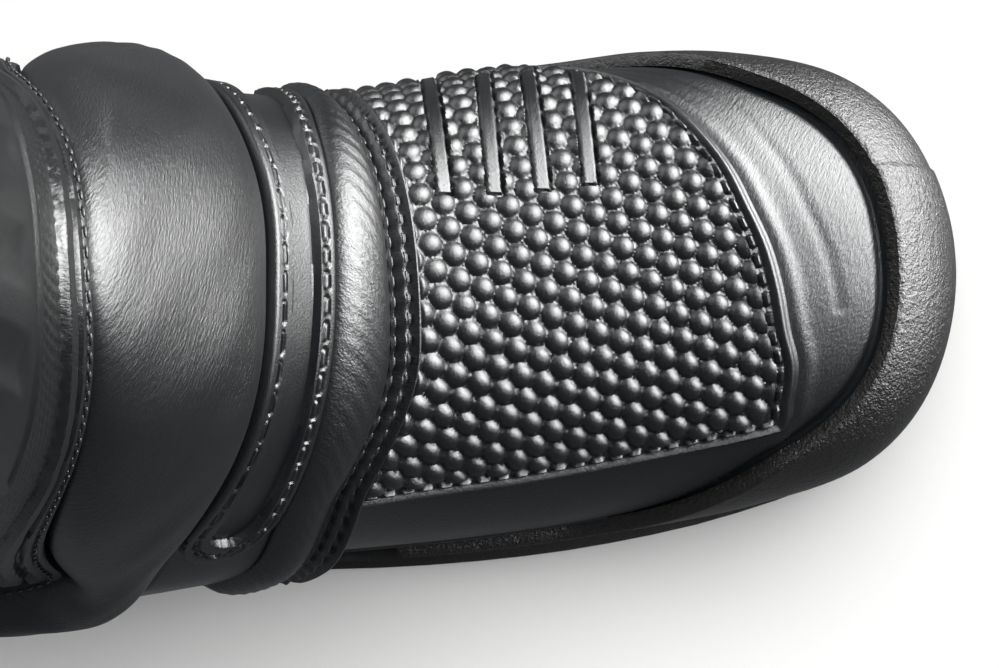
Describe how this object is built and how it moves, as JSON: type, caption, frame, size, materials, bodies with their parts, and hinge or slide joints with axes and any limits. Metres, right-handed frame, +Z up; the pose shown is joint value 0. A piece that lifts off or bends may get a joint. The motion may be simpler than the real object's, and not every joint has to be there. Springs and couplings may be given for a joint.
{
  "type": "motorcycle touring boot",
  "caption": "Black leather motorcycle touring boot, right foot, with studded gear-shift pad, padded ankle roll, lugged sole and medial zip.",
  "frame": {"origin": "middle of the bounding box's footprint, on the ground under the sole", "axes": "+X to the toe, +Y to the medial (inner) side with the zip, +Z up the shaft"},
  "size_m": [0.3204, 0.1136, 0.2877],
  "materials": {
    "upper_leather": "fine-grain full leather, semi-matt black",
    "moulded_pad": "moulded and embossed leather, black with a satin sheen",
    "stretch": "ribbed stretch textile, matt black",
    "lining": "knitted lining, dark grey",
    "foam": "open-cell foam padding",
    "stiffener": "thermoplastic and fibreboard stiffeners",
    "footbed": "cloth-covered foam footbed",
    "sole_rubber": "black nitrile rubber",
    "rand_rubber": "coarse-textured brownish black rubber",
    "shank_steel": "spring steel strip",
    "zip_tape": "woven polyester tape",
    "zip_coil": "black polyester coil",
    "zip_metal": "gunmetal-coated die casting",
    "hook_loop": "hook and loop fastener",
    "webbing": "ribbed polyester webbing"
  },
  "bodies": {
    "foot": {"outsole": "sole_rubber", "midsole": "sole_rubber", "toe_rand": "rand_rubber", "insole_board": "stiffener", "steel_shank": "shank_steel", "footbed": "footbed", "toe_puff": "stiffener", "vamp_padding": "foam", "heel_counter": "stiffener", "foot_lining": "lining", "vamp": "upper_leather", "instep_vamp": "upper_leather", "medial_quarter": "upper_leather", "lateral_quarter": "upper_leather", "backstay": "upper_leather", "shift_pad": "moulded_pad", "heel_overlay": "moulded_pad"},
    "shaft": {"flex_band": "upper_leather", "instep_strap": "moulded_pad", "ankle_roll": "upper_leather", "medial_flex_front": "stretch", "medial_flex_rear": "stretch", "lateral_flex": "stretch", "achilles_panel": "stretch", "front_ankle_padding": "foam", "lateral_ankle_cup": "stiffener", "medial_ankle_cup": "stiffener", "rear_ankle_padding": "foam", "ankle_lining": "lining", "zip_tape_front": "zip_tape", "zip_tape_rear": "zip_tape", "zip_teeth_front": "zip_coil", "zip_teeth_rear": "zip_coil", "zip_bottom_stop": "zip_metal", "shin_panel": "upper_leather", "shin_plate": "moulded_pad", "lateral_shaft": "upper_leather", "medial_shaft_front": "upper_leather", "medial_shaft_rear": "upper_leather", "back_panel": "stretch", "shaft_padding": "foam", "shaft_lining": "lining", "collar": "upper_leather", "zip_gusset": "stretch", "zip_top_stop_front": "zip_metal", "zip_top_stop_rear": "zip_metal", "tab_base": "upper_leather", "loop_patch": "hook_loop", "pull_loop": "webbing"},
    "zip_slider": {"zip_slider": "zip_metal"},
    "zip_pull": {"zip_pull": "zip_metal"},
    "closure_tab": {"tab_fold": "upper_leather", "closure_tab": "upper_leather", "hook_patch": "hook_loop"}
  },
  "joints": [
    {"name": "ankle_flex", "type": "hinge", "parent": "foot", "child": "shaft", "pos_m": [-0.07183, -0.00081, 0.092], "axis": [0, 1, 0], "range_deg": [-12, 18], "stiffness_Nm_per_rad": 6, "deforming": ["flex_band", "instep_strap", "ankle_roll", "medial_flex_front", "medial_flex_rear", "lateral_flex", "achilles_panel", "front_ankle_padding", "lateral_ankle_cup", "medial_ankle_cup", "rear_ankle_padding", "ankle_lining", "zip_tape_front", "zip_tape_rear", "zip_teeth_front", "zip_teeth_rear", "zip_bottom_stop"]},
    {"name": "zip_slide", "type": "slide", "parent": "shaft", "child": "zip_slider", "axis": [0.1025, -0.0273, -0.9944], "range_m": [0, 0.1379]},
    {"name": "pull_swing", "type": "hinge", "parent": "zip_slider", "child": "zip_pull", "pos_m": [-0.07588, 0.0542, 0.22396], "axis": [0.9947, 0, 0.1026], "range_deg": [0, 110]},
    {"name": "tab_open", "type": "hinge", "parent": "shaft", "child": "closure_tab", "pos_m": [-0.06921, 0.05488, 0.25682], "axis": [0.1025, -0.0273, -0.9944], "range_deg": [0, 130], "deforming": ["tab_fold"]}
  ]
}
